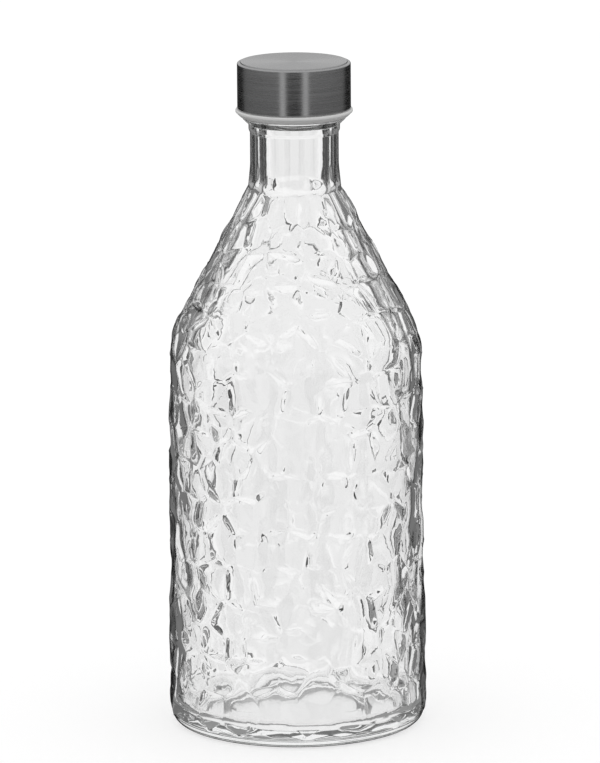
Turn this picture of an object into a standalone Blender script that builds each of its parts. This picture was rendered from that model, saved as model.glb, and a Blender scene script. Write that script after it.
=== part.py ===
# Glass water bottle with a hammered pattern and a steel-faced screw cap.
# Metres, +Z up. The bottle stands on z = 0, and its axis is the Z axis.

import bisect
import math
import random

import bmesh
import bpy
from mathutils import Vector

# Driving dimensions of the glass body, outside
BODY_RADIUS = 0.0485  # to the ridges of the pattern, at the foot of the wall
BODY_TAPER = 0.0010  # the wall is this much narrower where the shoulder begins
SHOULDER_HEIGHT = 0.1475  # where the wall and the cone of the shoulder would meet
SHOULDER_BEND = 0.033  # radius of the bend between them
SHOULDER_RISE = 0.0560  # up the cone to its top, where the smooth neck begins
NECK_LEDGE = 0.0007  # the pattern stands this far out of the neck there
PATTERN_FOOT_HEIGHT = 0.0085  # mean height of the lower edge of the pattern
HEEL_INSET = 0.0012  # the smooth ring under the pattern lies this far in
HEEL_BEND = 0.0063  # its rounding down to the ring that the bottle stands on
BEARING_WIDTH = 0.0032  # flat ring that touches the table
PUSH_UP = 0.0026  # height of the hollow under the base
PUSH_UP_SLOPE = 0.0055  # width of the slope that leads up to it
PUSH_UP_BEND = 0.0120

# Driving dimensions of the hammered pattern
CELL_WIDTH = 0.0115
CELL_HEIGHT = 0.0125
NECK_CELL_WIDTH = 0.0078  # cells narrow to this width at the neck
DIMPLE_SHARE = 0.13  # depth of a cell, as a share of its radius
SHIFT_SHARE = 0.30  # how far a cell strays, as a share of its size
PATTERN_SEED = 4

# Driving dimensions of the glass inside
WALL = 0.0028  # from the ridges to the inside
NECK_WALL = 0.0037
MOUTH_CHAMFER = 0.0007
FLOOR_HEIGHT = 0.0062
FLOOR_RISE = 0.0022  # the floor follows the hollow under it
INNER_HEEL_BEND = 0.011
INNER_NECK_BEND = 0.008

# Driving dimensions of the neck and its screw thread
FINISH_RADIUS = 0.0174  # wall that carries the thread
FINISH_HEIGHT = 0.0165  # from the bead up to the rim
RIM_ROUND = 0.0011
NECK_LENGTH = 0.0202  # from its foot up to its ring
NECK_INSET = 0.0010  # the neck is this much narrower than the wall with the thread
NECK_FLARE = 0.0008  # and it widens this much down to its foot
NECK_RING_STEP = 0.0006  # shallow ring where the moulds of neck and body met
NECK_RING_LENGTH = 0.0030
NECK_STEP = 0.0005  # height of the slope under that ring
BEAD_STEP = 0.0017  # ring under the cap, this much wider than the wall with the thread
BEAD_HEIGHT = 0.0026  # with its sloping underside
BEAD_EDGE = 0.0005  # height of its upright edge
BEAD_ROUND = 0.0003
THREAD_PITCH = 0.0042
THREAD_TURNS = 1.3
THREAD_DEPTH = 0.0012
THREAD_ROUND = 0.0010  # radius of the thread's round section
THREAD_TOP_DROP = 0.0024  # from the rim down to the thread's upper end
THREAD_RUN_OUT_SHARE = 0.12  # share of the thread's length that fades at each end
THREAD_END_SHARE = 0.3  # thickness of the thread at its very end, as a share of the full one

# Driving dimensions of the cap
SEAT_GAP = 0.0003  # between pieces that touch
THREAD_CLEARANCE = 0.0005  # between the thread's crest and the insert
INSERT_WALL = 0.0012
INSERT_TOP = 0.0014
INSERT_THREAD_ROUND = 0.0009
INSERT_THREAD_BITE = 0.0006  # how far the two threads overlap, along the radius
SHELL_WALL = 0.0004
SHELL_EDGE_ROUND = 0.0011
SHELL_HEM = 0.0005  # height of the hem that is turned in at the shell's foot
HEM_BITE = 0.0007  # how far the hem is turned in
COLLAR_HEIGHT = 0.0027
COLLAR_LIP = 0.0007  # the collar stands this far out of the shell
COLLAR_EDGE = 0.0014  # height of its upright edge
COLLAR_UNDERCUT = 0.0012  # and it is drawn in this far from the shell at its foot
COLLAR_ROUND = 0.0006
LINER_THICKNESS = 0.0015
SMALL_ROUND = 0.0002

# Fineness of the round shapes
TURN_STEPS = 48
ARC_STEP = math.radians(30)  # widest step of a rounding
ARC_SAG = 0.00006  # how far a flat of a rounding may lie inside the true arc
THREAD_STEPS = 30  # points of a thread for each turn
RIDGE_ANGLE = math.radians(12)  # ridges of the pattern bend more than this, and stay sharp
OVERRUN = 0.004  # cutters reach this far past what they cut
MERGE_DISTANCE = 0.00001

# Sizes that follow from those above
BODY_TOP_RADIUS = BODY_RADIUS - BODY_TAPER
HEEL_RADIUS = BODY_RADIUS - HEEL_INSET
NECK_RADIUS = FINISH_RADIUS - NECK_INSET
NECK_FOOT_RADIUS = NECK_RADIUS + NECK_FLARE
NECK_RING_RADIUS = NECK_RADIUS + NECK_RING_STEP
BORE_RADIUS = NECK_RADIUS - NECK_WALL
BEAD_RADIUS = FINISH_RADIUS + BEAD_STEP
NECK_BASE_HEIGHT = SHOULDER_HEIGHT + SHOULDER_RISE
NECK_RING_HEIGHT = NECK_BASE_HEIGHT + NECK_LENGTH
BEAD_BOTTOM_HEIGHT = NECK_RING_HEIGHT + NECK_RING_LENGTH
BEAD_TOP_HEIGHT = BEAD_BOTTOM_HEIGHT + BEAD_HEIGHT
RIM_HEIGHT = BEAD_TOP_HEIGHT + FINISH_HEIGHT
THREAD_TOP = RIM_HEIGHT - THREAD_TOP_DROP - THREAD_ROUND  # middle of its section up there
CREST_RADIUS = FINISH_RADIUS + THREAD_DEPTH
INSERT_INNER_RADIUS = CREST_RADIUS + THREAD_CLEARANCE
INSERT_RADIUS = INSERT_INNER_RADIUS + INSERT_WALL
SHELL_INNER_RADIUS = INSERT_RADIUS + SEAT_GAP
CAP_RADIUS = SHELL_INNER_RADIUS + SHELL_WALL
LINER_BOTTOM = RIM_HEIGHT + SEAT_GAP
LINER_TOP = LINER_BOTTOM + LINER_THICKNESS
INSERT_CEILING = LINER_TOP + SEAT_GAP
INSERT_HEIGHT = INSERT_CEILING + INSERT_TOP
SHELL_CEILING = INSERT_HEIGHT + SEAT_GAP
CAP_HEIGHT = SHELL_CEILING + SHELL_WALL
COLLAR_BOTTOM = BEAD_TOP_HEIGHT + SEAT_GAP
COLLAR_TOP = COLLAR_BOTTOM + COLLAR_HEIGHT
SHELL_BOTTOM = COLLAR_TOP + SEAT_GAP


def clear_scene():
    for old in list(bpy.data.objects):
        bpy.data.objects.remove(old)


def new_collection(name, hidden=False):
    made = bpy.data.collections.new(name)
    made.hide_render = hidden
    bpy.context.scene.collection.children.link(made)
    return made


def material(name, colour, roughness, metallic=0.0, transmission=0.0, ior=1.45):
    made = bpy.data.materials.new(name)
    made.use_nodes = True
    shader = made.node_tree.nodes["Principled BSDF"]
    shader.inputs["Base Color"].default_value = (*colour, 1.0)
    shader.inputs["Roughness"].default_value = roughness
    shader.inputs["Metallic"].default_value = metallic
    shader.inputs["Transmission Weight"].default_value = transmission
    shader.inputs["IOR"].default_value = ior
    made.diffuse_color = (*colour, 1.0)
    return made


def add_object(name, mesh, collection, finish=None):
    made = bpy.data.objects.new(name, mesh)
    collection.objects.link(made)
    if finish:
        mesh.materials.append(finish)
    if collection.hide_render:
        made.hide_render = True
        made.display_type = "WIRE"
    return made


def shade(obj, sharp_angle):
    """Round walls look round, and edges over the angle stay sharp."""
    obj.data.shade_smooth()
    obj.data.set_sharp_from_angle(angle=sharp_angle)


def rounded(corners, closed=False):
    """The points of an outline, from its corners (radius, height, rounding)."""
    points = []
    for i, (r, z, rounding) in enumerate(corners):
        corner = Vector((r, z))
        is_end = not closed and i in (0, len(corners) - 1)
        if rounding <= 0 or is_end:
            points.append(corner)
            continue
        before = Vector(corners[i - 1][:2]) - corner
        after = Vector(corners[(i + 1) % len(corners)][:2]) - corner
        half_angle = before.angle(after) / 2
        # A rounding takes no more than half of the shorter side beside it.
        reach = min(rounding / math.tan(half_angle), min(before.length, after.length) / 2)
        radius = reach * math.tan(half_angle)
        middle = (before.normalized() + after.normalized()).normalized()
        centre = corner + middle * (radius / math.sin(half_angle))
        start = corner + before.normalized() * reach - centre
        end = corner + after.normalized() * reach - centre
        sweep = start.angle_signed(end)
        step = min(ARC_STEP, 2 * math.acos(max(0, 1 - ARC_SAG / radius)))
        steps = math.ceil(abs(sweep) / step)
        first = math.atan2(start.y, start.x)
        for k in range(steps + 1):
            angle = first - sweep * k / steps
            points.append(centre + radius * Vector((math.cos(angle), math.sin(angle))))
    return points


def turned(name, points, collection, finish=None, closed=False):
    """A solid of revolution from an outline that runs down its outer side."""
    profile = bmesh.new()
    corners = [profile.verts.new((p.x, 0, p.y)) for p in points]
    for a, b in zip(corners, corners[1:]):
        profile.edges.new((a, b))
    if closed:
        profile.edges.new((corners[-1], corners[0]))
    mesh = bpy.data.meshes.new(name)
    profile.to_mesh(mesh)
    profile.free()
    made = add_object(name, mesh, collection, finish)
    screw = made.modifiers.new("Turn", "SCREW")
    screw.axis = "Z"
    screw.angle = math.tau
    screw.steps = TURN_STEPS
    screw.render_steps = TURN_STEPS
    screw.use_merge_vertices = True
    screw.merge_threshold = MERGE_DISTANCE
    screw.use_smooth_shade = True
    return made


def as_mesh(obj, collection):
    """A mesh object in place of a curve or of an object with modifiers."""
    graph = bpy.context.evaluated_depsgraph_get()
    graph.update()
    mesh = bpy.data.meshes.new_from_object(obj.evaluated_get(graph))
    welded = bmesh.new()
    welded.from_mesh(mesh)
    bmesh.ops.remove_doubles(welded, verts=welded.verts, dist=MERGE_DISTANCE)
    bmesh.ops.recalc_face_normals(welded, faces=welded.faces)
    welded.to_mesh(mesh)
    welded.free()
    name = obj.name
    place = obj.matrix_world.copy()
    bpy.data.objects.remove(obj)
    made = add_object(name, mesh, collection)
    made.matrix_world = place
    return made


def join_or_cut(obj, other, operation):
    boolean = obj.modifiers.new(operation.title() + " " + other.name, "BOOLEAN")
    boolean.operation = operation
    boolean.object = other
    boolean.solver = "EXACT"


def thread_rib(name, centre_radius, section_radius, bottom, wall_radius, collection):
    """A right-handed thread of round section, whose ends fade into the wall that carries it."""
    count = math.ceil(THREAD_TURNS * THREAD_STEPS) + 1
    curve = bpy.data.curves.new(name, "CURVE")
    curve.dimensions = "3D"
    curve.bevel_depth = section_radius
    curve.bevel_resolution = 2
    curve.use_fill_caps = True
    spline = curve.splines.new("POLY")
    spline.points.add(count - 1)
    for i, point in enumerate(spline.points):
        share = i / (count - 1)
        fade = min(1.0, min(share, 1 - share) / THREAD_RUN_OUT_SHARE)
        angle = math.tau * THREAD_TURNS * share
        radius = wall_radius + (centre_radius - wall_radius) * fade
        height = bottom + THREAD_PITCH * THREAD_TURNS * share
        point.co = (radius * math.cos(angle), radius * math.sin(angle), height, 1)
        point.radius = THREAD_END_SHARE + (1 - THREAD_END_SHARE) * fade
    made = bpy.data.objects.new(name, curve)
    collection.objects.link(made)
    return as_mesh(made, collection)


class PatternLine:
    """The line up the wall that the ridges of the pattern follow, measured along itself."""

    def __init__(self):
        corners = [
            (BODY_RADIUS, PATTERN_FOOT_HEIGHT, 0),
            (BODY_TOP_RADIUS, SHOULDER_HEIGHT, SHOULDER_BEND),
            (NECK_FOOT_RADIUS + NECK_LEDGE, NECK_BASE_HEIGHT, 0),
        ]
        line = rounded(corners)
        # Half a cell more at each end, for the row of points that closes the pattern there.
        half_cell = CELL_HEIGHT / 2
        line.insert(0, line[0] + (line[0] - line[1]).normalized() * half_cell)
        line.append(line[-1] + (line[-1] - line[-2]).normalized() * half_cell)
        self.points = line
        self.along = [0.0]
        self.stretch = [0.0]
        for a, b in zip(line, line[1:]):
            step = (b - a).length
            self.along.append(self.along[-1] + step)
            # Length over radius, so that a cell keeps its shape when it is laid on a ball.
            slope = (b.x - a.x) / step
            turn = step / a.x if abs(slope) < 1e-6 else math.log(b.x / a.x) / slope
            self.stretch.append(self.stretch[-1] + turn)
        self.length = self.along[-1]

    def at(self, along):
        """(radius, height, stretch) at this distance up the line."""
        i = min(max(bisect.bisect_right(self.along, along), 1), len(self.along) - 1)
        share = (along - self.along[i - 1]) / (self.along[i] - self.along[i - 1])
        point = self.points[i - 1].lerp(self.points[i], share)
        stretch = self.stretch[i - 1] + share * (self.stretch[i] - self.stretch[i - 1])
        return point.x, point.y, stretch


def pattern_seeds(line):
    """(angle, distance up the line, is it in an end row) for the middle of each cell."""
    chance = random.Random(PATTERN_SEED)
    rows = max(4, round(line.length / CELL_HEIGHT))
    shoulder_start = SHOULDER_HEIGHT - PATTERN_FOOT_HEIGHT
    seeds = []
    for row in range(rows + 1):
        is_end = row in (0, rows)
        along = line.length * row / rows
        up_shoulder = max(0.0, (along - shoulder_start) / (line.length - shoulder_start))
        width = CELL_WIDTH + (NECK_CELL_WIDTH - CELL_WIDTH) * up_shoulder
        count = max(8, round(math.tau * line.at(along)[0] / width))
        for k in range(count):
            across = 0 if is_end else chance.uniform(-SHIFT_SHARE, SHIFT_SHARE)
            up = 0 if is_end else chance.uniform(-SHIFT_SHARE, SHIFT_SHARE)
            angle = math.tau * (k + row / 2 + across) / count
            seeds.append((angle, along + up * line.length / rows, is_end))
    return seeds


def seed_net(line, seeds):
    """Triangles between neighbouring cells: the hull of the cells' middles laid on a ball."""
    net = bmesh.new()
    middle = line.at(line.length / 2)[2]
    for angle, along, _ in seeds:
        latitude = 2 * math.atan(math.exp(line.at(along)[2] - middle)) - math.pi / 2
        flat = math.cos(latitude)
        net.verts.new((flat * math.cos(angle), flat * math.sin(angle), math.sin(latitude)))
    net.verts.index_update()
    bmesh.ops.convex_hull(net, input=net.verts)
    lids = [f for f in net.faces if all(seeds[v.index][2] for v in f.verts)]
    bmesh.ops.delete(net, geom=lids, context="FACES_ONLY")
    net.verts.index_update()
    net.faces.index_update()
    return net


def pattern_cells(line, seeds):
    """The hammered wall as an open tube: a shallow dimple in each cell, a ridge between cells."""
    net = seed_net(line, seeds)
    wall = bmesh.new()
    ridge_points = []
    for face in net.faces:
        along = sum(seeds[v.index][1] for v in face.verts) / len(face.verts)
        towards = sum((Vector((v.co.x, v.co.y)).normalized() for v in face.verts), Vector((0, 0)))
        towards.normalize()
        radius, height, _ = line.at(along)
        ridge_points.append(wall.verts.new((radius * towards.x, radius * towards.y, height)))
    for seed in net.verts:
        if seeds[seed.index][2]:
            continue
        east = Vector((-seed.co.y, seed.co.x, 0)).normalized()
        north = seed.co.cross(east)
        around = []
        for face in seed.link_faces:
            away = face.calc_center_median() - seed.co
            around.append((math.atan2(away.dot(north), away.dot(east)), face.index))
        wall.faces.new([ridge_points[index] for _, index in sorted(around)])
    net.free()
    loose = [v for v in wall.verts if not v.link_faces]
    bmesh.ops.delete(wall, geom=loose, context="VERTS")
    bmesh.ops.poke(
        wall, faces=wall.faces, offset=-DIMPLE_SHARE, center_mode="MEAN", use_relative_offset=True
    )
    return wall


def close_end(wall, is_this_end, radius, height):
    """Turns one open end of the wall inwards to a flat ring, and fills the ring."""
    rim = [e for e in wall.edges if e.is_boundary and is_this_end(e.verts[0].co.z)]
    made = bmesh.ops.extrude_edge_only(wall, edges=rim)["geom"]
    for vert in (g for g in made if isinstance(g, bmesh.types.BMVert)):
        outwards = Vector((vert.co.x, vert.co.y)).normalized() * radius
        vert.co = (outwards.x, outwards.y, height)
    ring = [g for g in made if isinstance(g, bmesh.types.BMEdge)]
    bmesh.ops.edgeloop_fill(wall, edges=ring)


def hammered_wall(collection, finish):
    line = PatternLine()
    wall = pattern_cells(line, pattern_seeds(line))
    halfway = (PATTERN_FOOT_HEIGHT + NECK_BASE_HEIGHT) / 2
    close_end(wall, lambda z: z < halfway, HEEL_RADIUS - WALL, PATTERN_FOOT_HEIGHT)
    close_end(wall, lambda z: z > halfway, NECK_RADIUS - NECK_STEP * 2, NECK_BASE_HEIGHT)
    bmesh.ops.recalc_face_normals(wall, faces=wall.faces)
    mesh = bpy.data.meshes.new("glass_bottle")
    wall.to_mesh(mesh)
    wall.free()
    return add_object("glass_bottle", mesh, collection, finish)


def glass_core(collection):
    """The smooth parts of the outside: heel and base, neck, bead and rim."""
    hidden_radius = BODY_TOP_RADIUS - 2 * WALL
    heel_top = PATTERN_FOOT_HEIGHT + CELL_HEIGHT / 2
    bearing_outer = HEEL_RADIUS - HEEL_BEND
    corners = [
        (0, RIM_HEIGHT, 0),
        (FINISH_RADIUS, RIM_HEIGHT, RIM_ROUND),
        (FINISH_RADIUS, BEAD_TOP_HEIGHT, 0),
        (BEAD_RADIUS, BEAD_TOP_HEIGHT, BEAD_ROUND),
        (BEAD_RADIUS, BEAD_TOP_HEIGHT - BEAD_EDGE, BEAD_ROUND),
        (NECK_RING_RADIUS, BEAD_BOTTOM_HEIGHT, BEAD_ROUND),
        (NECK_RING_RADIUS, NECK_RING_HEIGHT, 0),
        (NECK_RADIUS, NECK_RING_HEIGHT - NECK_STEP, 0),
        (NECK_FOOT_RADIUS, NECK_BASE_HEIGHT, 0),
        (NECK_FOOT_RADIUS, NECK_BASE_HEIGHT - 2 * WALL, 0),
        (hidden_radius, SHOULDER_HEIGHT, 0),
        (hidden_radius, heel_top, 0),
        (HEEL_RADIUS, heel_top, 0),
        (HEEL_RADIUS, 0, HEEL_BEND),
        (bearing_outer - BEARING_WIDTH, 0, 0),
        (bearing_outer - BEARING_WIDTH - PUSH_UP_SLOPE, PUSH_UP, PUSH_UP_BEND),
        (0, PUSH_UP, 0),
    ]
    return turned("glass_core", rounded(corners), collection)


def glass_cavity(collection):
    """The space for the water, from above the mouth to the floor."""
    slope = (BODY_TOP_RADIUS - NECK_FOOT_RADIUS - NECK_LEDGE) / SHOULDER_RISE
    # The inside of the cone lies one wall in from its outside, square to it.
    inset = WALL * math.hypot(1, slope)
    meets_bore = SHOULDER_HEIGHT + (BODY_TOP_RADIUS - inset - BORE_RADIUS) / slope
    meets_wall = SHOULDER_HEIGHT + (WALL - inset) / slope
    corners = [
        (0, RIM_HEIGHT + OVERRUN, 0),
        (BORE_RADIUS + MOUTH_CHAMFER + OVERRUN, RIM_HEIGHT + OVERRUN, 0),
        (BORE_RADIUS, RIM_HEIGHT - MOUTH_CHAMFER, 0),
        (BORE_RADIUS, meets_bore, INNER_NECK_BEND),
        (BODY_TOP_RADIUS - WALL, meets_wall, SHOULDER_BEND),
        (BODY_RADIUS - WALL, FLOOR_HEIGHT, INNER_HEEL_BEND),
        (0, FLOOR_HEIGHT + FLOOR_RISE, 0),
    ]
    return turned("glass_cavity", rounded(corners), collection)


def glass_bottle(parts, cutters, finish):
    bottle = hammered_wall(parts, finish)
    thread = thread_rib(
        "glass_thread",
        CREST_RADIUS - THREAD_ROUND,
        THREAD_ROUND,
        THREAD_TOP - THREAD_PITCH * THREAD_TURNS,
        FINISH_RADIUS,
        cutters,
    )
    join_or_cut(bottle, glass_core(cutters), "UNION")
    join_or_cut(bottle, thread, "UNION")
    join_or_cut(bottle, glass_cavity(cutters), "DIFFERENCE")
    shade(bottle, RIDGE_ANGLE)
    return bottle


def cap_insert(parts, cutters, finish):
    """The plastic cup with the thread. Its collar shows under the steel shell."""
    groove_radius = SHELL_INNER_RADIUS - HEM_BITE - SEAT_GAP
    groove_top = SHELL_BOTTOM + SHELL_HEM + SEAT_GAP
    corners = [
        (0, INSERT_HEIGHT, 0),
        (INSERT_RADIUS, INSERT_HEIGHT, SHELL_EDGE_ROUND),
        (INSERT_RADIUS, groove_top, 0),
        (groove_radius, groove_top, 0),
        (groove_radius, COLLAR_TOP, 0),
        (CAP_RADIUS + COLLAR_LIP, COLLAR_TOP, COLLAR_ROUND),
        (CAP_RADIUS + COLLAR_LIP, COLLAR_TOP - COLLAR_EDGE, COLLAR_ROUND),
        (CAP_RADIUS - COLLAR_UNDERCUT, COLLAR_BOTTOM, SMALL_ROUND),
        (INSERT_INNER_RADIUS, COLLAR_BOTTOM, SMALL_ROUND),
        (INSERT_INNER_RADIUS, INSERT_CEILING, 0),
        (0, INSERT_CEILING, 0),
    ]
    insert = turned("cap_insert", rounded(corners), parts, finish)
    # Its thread bears up against the lower side of the thread on the glass.
    crest_radius = CREST_RADIUS - INSERT_THREAD_BITE
    centre_radius = crest_radius + INSERT_THREAD_ROUND
    apart = THREAD_ROUND + INSERT_THREAD_ROUND + SEAT_GAP
    across = centre_radius - (CREST_RADIUS - THREAD_ROUND)
    drop = math.sqrt(apart**2 - across**2)
    thread = thread_rib(
        "insert_thread",
        centre_radius,
        INSERT_THREAD_ROUND,
        THREAD_TOP - drop - THREAD_PITCH * THREAD_TURNS,
        INSERT_INNER_RADIUS,
        cutters,
    )
    join_or_cut(insert, thread, "UNION")
    return insert


def cap_shell(parts, finish):
    """The steel cup pressed over the insert, with a hem that grips the insert's groove."""
    inner_round = max(SHELL_EDGE_ROUND - SHELL_WALL, SMALL_ROUND)
    hem_radius = SHELL_INNER_RADIUS - HEM_BITE
    corners = [
        (0, CAP_HEIGHT, 0),
        (CAP_RADIUS, CAP_HEIGHT, SHELL_EDGE_ROUND),
        (CAP_RADIUS, SHELL_BOTTOM, SMALL_ROUND),
        (hem_radius, SHELL_BOTTOM, SMALL_ROUND),
        (hem_radius, SHELL_BOTTOM + SHELL_HEM, SMALL_ROUND),
        (SHELL_INNER_RADIUS, SHELL_BOTTOM + SHELL_HEM, 0),
        (SHELL_INNER_RADIUS, SHELL_CEILING, inner_round),
        (0, SHELL_CEILING, 0),
    ]
    return turned("cap_shell", rounded(corners), parts, finish)


def cap_liner(parts, finish):
    """The soft disc that the rim seals against."""
    radius = INSERT_INNER_RADIUS - SEAT_GAP
    corners = [
        (0, LINER_TOP, 0),
        (radius, LINER_TOP, SMALL_ROUND),
        (radius, LINER_BOTTOM, SMALL_ROUND),
        (0, LINER_BOTTOM, 0),
    ]
    return turned("cap_liner", rounded(corners), parts, finish)


def main():
    clear_scene()
    parts = new_collection("water_bottle")
    cutters = new_collection("cutters", hidden=True)
    glass = material("clear_glass", (0.93, 0.94, 0.94), 0.02, transmission=1.0, ior=1.52)
    steel = material("brushed_steel", (0.50, 0.50, 0.50), 0.32, metallic=1.0)
    plastic = material("white_plastic", (0.80, 0.80, 0.79), 0.45)
    foam = material("sealing_foam", (0.86, 0.86, 0.84), 0.75)
    glass_bottle(parts, cutters, glass)
    cap_insert(parts, cutters, plastic)
    cap_shell(parts, steel)
    cap_liner(parts, foam)


main()
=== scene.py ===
import math
import random

import bmesh
import bpy
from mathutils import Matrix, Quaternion, Vector


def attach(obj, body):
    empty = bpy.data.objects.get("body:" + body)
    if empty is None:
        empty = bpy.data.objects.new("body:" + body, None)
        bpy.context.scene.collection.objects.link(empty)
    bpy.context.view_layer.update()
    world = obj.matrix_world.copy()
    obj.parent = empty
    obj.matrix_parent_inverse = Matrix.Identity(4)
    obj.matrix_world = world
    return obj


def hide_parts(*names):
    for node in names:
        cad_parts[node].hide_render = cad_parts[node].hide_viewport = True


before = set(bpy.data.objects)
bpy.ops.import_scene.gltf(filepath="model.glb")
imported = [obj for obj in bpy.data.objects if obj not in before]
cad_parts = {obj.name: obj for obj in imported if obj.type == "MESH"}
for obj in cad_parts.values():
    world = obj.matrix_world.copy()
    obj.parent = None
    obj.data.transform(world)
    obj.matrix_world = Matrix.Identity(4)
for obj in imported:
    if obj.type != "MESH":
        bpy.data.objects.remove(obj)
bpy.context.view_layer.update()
print("frame loaded:", ", ".join(sorted(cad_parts)))


# helpers for node trees

def pick(sockets, name):
    return next(s for s in sockets if s.name == name and s.enabled)


def addNode(tree, kind, inputs=None, **settings):
    node = tree.nodes.new(kind)
    for key, value in settings.items():
        setattr(node, key, value)
    for key, value in (inputs or {}).items():
        socket = node.inputs[key] if isinstance(key, int) else pick(node.inputs, key)
        if isinstance(value, bpy.types.NodeSocket):
            tree.links.new(value, socket)
        else:
            socket.default_value = value
    return node


def calc(tree, operation, *values):
    return addNode(tree, "ShaderNodeMath", dict(enumerate(values)), operation=operation).outputs[0]


def vectorCalc(tree, operation, *values):
    inputs = dict(enumerate(values))
    if operation == "SCALE":
        inputs = {"Vector": values[0], "Scale": values[1]}
    return addNode(tree, "ShaderNodeVectorMath", inputs, operation=operation).outputs["Vector"]


def smoothStep(tree, value, low, high, toLow=0.0, toHigh=1.0):
    inputs = {"Value": value, "From Min": low, "From Max": high, "To Min": toLow, "To Max": toHigh}
    node = addNode(tree, "ShaderNodeMapRange", inputs, interpolation_type="SMOOTHSTEP")
    return node.outputs["Result"]


def splitVector(tree, vector):
    node = addNode(tree, "ShaderNodeSeparateXYZ", {0: vector})
    return node.outputs["X"], node.outputs["Y"], node.outputs["Z"]


def joinVector(tree, x, y, z):
    return addNode(tree, "ShaderNodeCombineXYZ", {"X": x, "Y": y, "Z": z}).outputs[0]


def awayFromAxis(tree, x, y):
    squares = [calc(tree, "MULTIPLY", value, value) for value in (x, y)]
    return calc(tree, "SQRT", calc(tree, "ADD", *squares))


def blend(tree, share, low, high):
    inputs = {"Factor": share, "A": low, "B": high}
    return addNode(tree, "ShaderNodeMix", inputs, data_type="FLOAT").outputs[0]


# helpers for meshes

def addPiece(name, mesh, finish=None):
    piece = bpy.data.objects.new(name, mesh)
    bpy.context.scene.collection.objects.link(piece)
    if finish:
        mesh.materials.clear()
        mesh.materials.append(finish)
    return piece


def roundCorners(corners, arcStep):
    # corners are (radius, height, rounding), and each rounding becomes an arc
    points = []
    for i, (radius, height, rounding) in enumerate(corners):
        corner = Vector((radius, height))
        if rounding <= 0 or i in (0, len(corners) - 1):
            points.append(corner)
            continue
        before = Vector(corners[i - 1][:2]) - corner
        after = Vector(corners[i + 1][:2]) - corner
        halfAngle = before.angle(after) / 2
        reach = min(rounding / math.tan(halfAngle), before.length / 2, after.length / 2)
        arcRadius = reach * math.tan(halfAngle)
        middle = (before.normalized() + after.normalized()).normalized()
        centre = corner + middle * (arcRadius / math.sin(halfAngle))
        start = corner + before.normalized() * reach - centre
        end = corner + after.normalized() * reach - centre
        sweep = start.angle_signed(end)
        first = math.atan2(start.y, start.x)
        steps = max(2, math.ceil(abs(sweep) / arcStep))
        for k in range(steps + 1):
            angle = first - sweep * k / steps
            points.append(centre + arcRadius * Vector((math.cos(angle), math.sin(angle))))
    return points


def turnOnAxis(name, points, steps, closed=False):
    # a solid of revolution round Z, with its poles merged and its faces outwards
    turned = bmesh.new()
    line = [turned.verts.new((p.x, 0, p.y)) for p in points]
    edges = [turned.edges.new(pair) for pair in zip(line, line[1:])]
    if closed:
        edges.append(turned.edges.new((line[-1], line[0])))
    bmesh.ops.spin(
        turned, geom=line + edges, cent=(0, 0, 0), axis=(0, 0, 1),
        angle=math.tau, steps=steps, use_merge=True,
    )
    bmesh.ops.remove_doubles(turned, verts=turned.verts, dist=1e-6)
    bmesh.ops.recalc_face_normals(turned, faces=turned.faces)
    mesh = bpy.data.meshes.new(name)
    turned.to_mesh(mesh)
    turned.free()
    return mesh


def bakedMesh(piece):
    # the piece with its modifiers worked out, as a plain mesh
    graph = bpy.context.evaluated_depsgraph_get()
    graph.update()
    mesh = bpy.data.meshes.new_from_object(piece.evaluated_get(graph))
    mesh.name = piece.name
    return mesh


def unite(piece, other, operation):
    modifier = piece.modifiers.new(operation.title(), "BOOLEAN")
    modifier.operation = operation
    modifier.object = other
    modifier.solver = "MANIFOLD"


def threadRib(name, thread, radius, wallRadius, top, section):
    # right-handed, and its ends sink into the wall
    count = math.ceil(thread["turns"] * thread["steps"]) + 1
    curve = bpy.data.curves.new(name, "CURVE")
    curve.dimensions = "3D"
    curve.bevel_depth = section
    curve.bevel_resolution = thread["sectionSteps"]
    curve.use_fill_caps = True
    spline = curve.splines.new("POLY")
    spline.points.add(count - 1)
    for i, point in enumerate(spline.points):
        share = i / (count - 1)
        fade = min(1.0, min(share, 1 - share) / thread["runOutShare"])
        angle = math.tau * thread["turns"] * share
        r = wallRadius + (radius - wallRadius) * fade
        z = top - thread["pitch"] * thread["turns"] * (1 - share)
        point.co = (r * math.cos(angle), r * math.sin(angle), z, 1)
        point.radius = thread["endShare"] + (1 - thread["endShare"]) * fade
    rib = bpy.data.objects.new(name, curve)
    bpy.context.scene.collection.objects.link(rib)
    mesh = bakedMesh(rib)
    bpy.data.objects.remove(rib)
    welded = bmesh.new()
    welded.from_mesh(mesh)
    bmesh.ops.remove_doubles(welded, verts=welded.verts, dist=1e-6)
    bmesh.ops.recalc_face_normals(welded, faces=welded.faces)
    welded.to_mesh(mesh)
    welded.free()
    return addPiece(name, mesh)


# materials

glassLook = {
    "tint": (0.97, 0.975, 0.975, 1), "ior": 1.52, "density": 14.0,
    "rippleSize": 260.0, "ripple": 0.04, "rippleDepth": 0.0005,
    "bodySlant": 0.955, "shoulderSlant": 0.87, "shoulderZone": (0.135, 0.165),
    "neckSlant": 0.81, "neckZone": (0.202, 0.208, 0.2255, 0.2268), "leavingSlant": 0.015,
    "slantSoft": 0.035, "slantDark": 0.03, "bodyGrey": 0.66, "neckGrey": 0.2,
    "outline": 0.99, "outlineDark": 0.1, "lyingClear": 0.83, "lyingFrom": 0.55, "lyingTo": 0.85,
    "trappedTurns": 4, "paintedTrappedGlow": 0.18, "paintedBaseGlow": 0.3, "baseZone": (0.0015, 0.0045), "paintedBeadGlow": 0.6,
}
steelLook = {
    "tint": (0.56, 0.56, 0.565, 1), "darkest": 0.9, "palest": 1.06, "roughness": 0.25, "roughSpread": 0.06,
    "brushing": 0.75, "brushTurn": 0.25, "lineSize": 6500.0, "streakSize": 30.0, "lines": 0.06,
    "lineDepth": 0.0001,
}
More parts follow.
